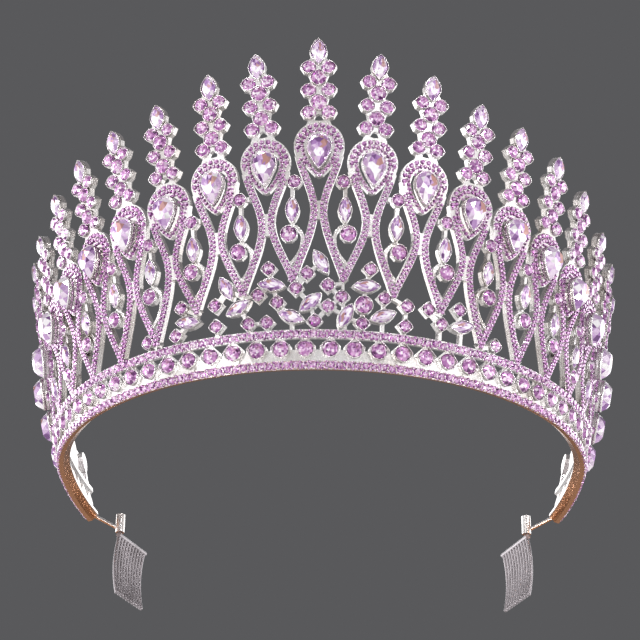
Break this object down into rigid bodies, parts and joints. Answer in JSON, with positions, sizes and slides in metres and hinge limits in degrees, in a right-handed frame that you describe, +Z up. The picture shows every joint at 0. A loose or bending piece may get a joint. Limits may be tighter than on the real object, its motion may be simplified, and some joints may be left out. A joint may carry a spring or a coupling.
{
  "type": "pageant crown",
  "caption": "Tall open-backed pageant crown of pierced silver-plated metal set with lilac crystals, worn on the head and held by two wire hair combs.",
  "frame": {"origin": "centre of the plane of the lower rim, where the crown sits on the head", "axes": "+Z up, -Y to the crown's front, +X to the wearer's left"},
  "size_m": [0.1658, 0.1378, 0.1087],
  "materials": {
    "silver_plate": "bright silver plating on cast alloy",
    "comb_wire": "soft silver-plated steel wire",
    "lilac_crystal": "faceted, foil-backed lilac crystal"
  },
  "bodies": {
    "root": {"frame": "silver_plate", "comb_left": "comb_wire", "comb_right": "comb_wire", "tip_stones": "lilac_crystal", "spire_stones": "lilac_crystal", "drop_stones": "lilac_crystal", "hanging_stones": "lilac_crystal", "garland_stones": "lilac_crystal", "band_stones": "lilac_crystal", "pear_0": "lilac_crystal", "pear_l1": "lilac_crystal", "pear_r1": "lilac_crystal", "pear_l2": "lilac_crystal", "pear_r2": "lilac_crystal", "pear_l3": "lilac_crystal", "pear_r3": "lilac_crystal", "pear_l4": "lilac_crystal", "pear_r4": "lilac_crystal", "pear_l5": "lilac_crystal", "pear_r5": "lilac_crystal", "pear_l6": "lilac_crystal", "pear_r6": "lilac_crystal", "pear_l7": "lilac_crystal", "pear_r7": "lilac_crystal", "pear_l8": "lilac_crystal", "pear_r8": "lilac_crystal", "pear_l9": "lilac_crystal", "pear_r9": "lilac_crystal", "pear_l10": "lilac_crystal", "pear_r10": "lilac_crystal", "pear_l11": "lilac_crystal", "pear_r11": "lilac_crystal", "pear_l12": "lilac_crystal", "pear_r12": "lilac_crystal"}
  },
  "joints": []
}
